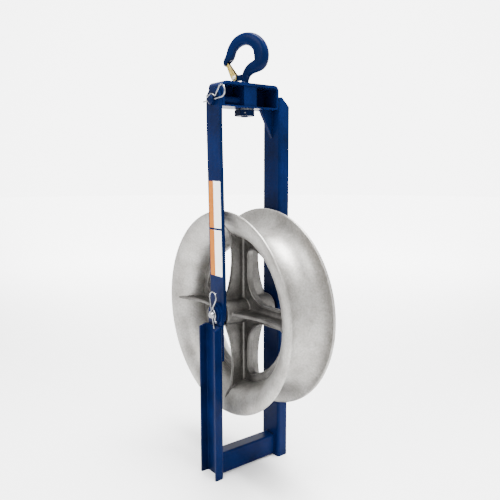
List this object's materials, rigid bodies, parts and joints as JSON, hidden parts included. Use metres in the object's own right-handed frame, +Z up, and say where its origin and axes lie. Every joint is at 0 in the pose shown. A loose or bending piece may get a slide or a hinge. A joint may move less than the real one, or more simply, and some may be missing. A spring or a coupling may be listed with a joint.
{
  "type": "hook sheave",
  "caption": "Cast cable wheel in an open-sided channel frame with a swivel hook, a sprung latch and a clipped side strap.",
  "frame": {"origin": "on the floor under the middle of the wheel, between the two channel feet", "axes": "+Z up, Y along the wheel's axle with the side strap and its clips on the -Y side, X in the wheel's plane"},
  "size_m": [0.4569, 0.2075, 0.9829],
  "materials": {
    "blue_paint": "semi-gloss",
    "cast_aluminium": "cast and turned, satin",
    "plain_steel": "satin",
    "bright_steel": "bright zinc",
    "black_plastic": "matte",
    "black_rubber": "matte",
    "zinc_yellow": "yellow zinc plating",
    "pale_steel": "satin"
  },
  "bodies": {
    "frame": {"rear_leg": "blue_paint", "front_leg": "blue_paint", "axle_plate": "blue_paint", "axle_plate_collar": "blue_paint", "foot_tie": "blue_paint", "side_strap": "blue_paint", "head_bar": "blue_paint", "head_floor": "blue_paint", "head_back": "blue_paint", "hook_block": "blue_paint", "strap_stud": "blue_paint", "head_gusset": "blue_paint", "axle": "bright_steel", "front_thrust_washer": "black_plastic", "rear_spacer": "plain_steel", "front_bearing_inner": "plain_steel", "rear_bearing_inner": "plain_steel", "bearing_spacer": "plain_steel"},
    "wheel": {"sheave_rim": "cast_aluminium", "sheave_spokes": "cast_aluminium", "sheave_centre": "cast_aluminium", "front_bearing_outer": "plain_steel", "rear_bearing_outer": "plain_steel", "front_bearing_balls": "plain_steel", "rear_bearing_balls": "plain_steel", "front_dust_seal": "black_rubber", "rear_dust_seal": "black_rubber"},
    "hook_body": {"hook": "blue_paint", "hook_nut": "blue_paint", "nut_lock_pin": "plain_steel", "nut_washer": "plain_steel", "latch_pin": "pale_steel"},
    "latch_body": {"latch": "zinc_yellow", "latch_spring": "plain_steel"},
    "strap_clip_body": {"strap_clip": "bright_steel"},
    "axle_clip_body": {"axle_clip": "bright_steel"}
  },
  "joints": [
    {"name": "wheel_spin", "type": "hinge", "parent": "frame", "child": "wheel", "pos_m": [0, 0, 0.375], "axis": [0, 1, 0], "continuous": true},
    {"name": "hook_swivel", "type": "hinge", "parent": "frame", "child": "hook_body", "pos_m": [0, 0, 0.849], "axis": [0, 0, 1], "continuous": true},
    {"name": "latch_swing", "type": "hinge", "parent": "hook_body", "child": "latch_body", "pos_m": [-0.0196, -0.00999, 0.889], "axis": [-0.454, 0.891, 0], "range_deg": [0, 55], "stiffness_Nm_per_rad": 0.03, "springref_deg": -34.38},
    {"name": "strap_clip_turn", "type": "hinge", "parent": "frame", "child": "strap_clip_body", "pos_m": [0, -0.0871, 0.8365], "axis": [0.9976, 0, 0.0698], "range_deg": [0, 180]},
    {"name": "axle_clip_turn", "type": "hinge", "parent": "frame", "child": "axle_clip_body", "pos_m": [0, -0.0899, 0.375], "axis": [0.225, 0, -0.9744], "range_deg": [0, 180]}
  ]
}
